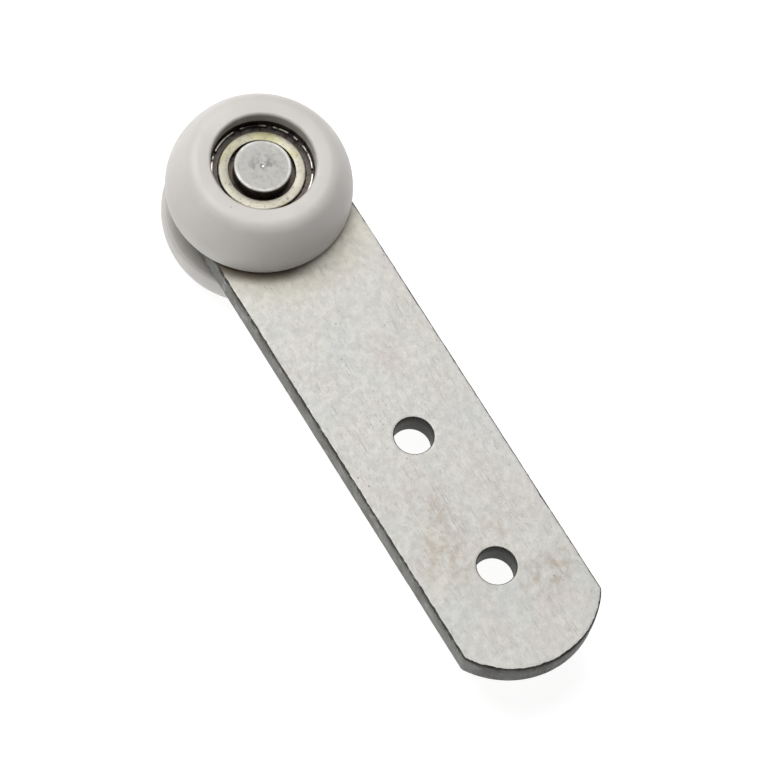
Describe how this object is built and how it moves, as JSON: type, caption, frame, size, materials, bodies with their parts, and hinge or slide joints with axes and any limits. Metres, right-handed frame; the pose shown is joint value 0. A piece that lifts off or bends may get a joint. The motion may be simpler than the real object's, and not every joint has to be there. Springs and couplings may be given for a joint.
{
  "type": "sliding door roller",
  "caption": "Flat steel strap with two bolt holes and a domed plastic wheel on each face, both wheels turning on ball bearings on one axle pin.",
  "frame": {"origin": "where the axle's axis crosses the middle plane of the strap, between the two wheels", "axes": "+X along the strap from the axle to its free end, +Y across the strap, +Z along the axle towards the front wheel"},
  "size_m": [0.1077, 0.0302, 0.0259],
  "materials": {
    "strap_steel": "zinc plated, lightly stained and scratched",
    "axle_steel": "turned steel, satin",
    "nylon": "off-white nylon, soft sheen",
    "ring_steel": "ground bearing steel, slightly yellowed",
    "ball_steel": "polished bearing steel",
    "cage_steel": "pressed sheet",
    "rivet_steel": "headed wire",
    "shield_steel": "thin pressed steel, dark with old grease",
    "spacer_steel": "plain washer"
  },
  "bodies": {
    "mounting_arm": {"strap": "strap_steel", "axle": "axle_steel", "front_inner_ring": "ring_steel", "rear_inner_ring": "ring_steel", "front_spacer": "spacer_steel", "rear_spacer": "spacer_steel"},
    "front_wheel": {"front_tyre": "nylon", "front_outer_ring": "ring_steel", "front_outer_shield": "shield_steel", "front_inner_shield": "shield_steel"},
    "rear_wheel": {"rear_tyre": "nylon", "rear_outer_ring": "ring_steel", "rear_outer_shield": "shield_steel", "rear_inner_shield": "shield_steel"},
    "front_ball_set": {"front_balls": "ball_steel", "front_cage_outer_half": "cage_steel", "front_cage_inner_half": "cage_steel", "front_cage_rivets": "rivet_steel"},
    "rear_ball_set": {"rear_balls": "ball_steel", "rear_cage_outer_half": "cage_steel", "rear_cage_inner_half": "cage_steel", "rear_cage_rivets": "rivet_steel"}
  },
  "joints": [
    {"name": "front_wheel_spin", "type": "hinge", "parent": "mounting_arm", "child": "front_wheel", "pos_m": [0, 0, 0.00648], "axis": [0, 0, 1], "continuous": true},
    {"name": "front_ball_orbit", "type": "hinge", "parent": "mounting_arm", "child": "front_ball_set", "pos_m": [0, 0, 0.00648], "axis": [0, 0, 1], "continuous": true},
    {"name": "rear_wheel_spin", "type": "hinge", "parent": "mounting_arm", "child": "rear_wheel", "pos_m": [0, 0, -0.00698], "axis": [0, 0, 1], "continuous": true},
    {"name": "rear_ball_orbit", "type": "hinge", "parent": "mounting_arm", "child": "rear_ball_set", "pos_m": [0, 0, -0.00698], "axis": [0, 0, 1], "continuous": true}
  ],
  "couplings": [
    {"joint": "front_ball_orbit", "follows": "front_wheel_spin", "ratio": 0.598},
    {"joint": "rear_ball_orbit", "follows": "rear_wheel_spin", "ratio": 0.598}
  ]
}
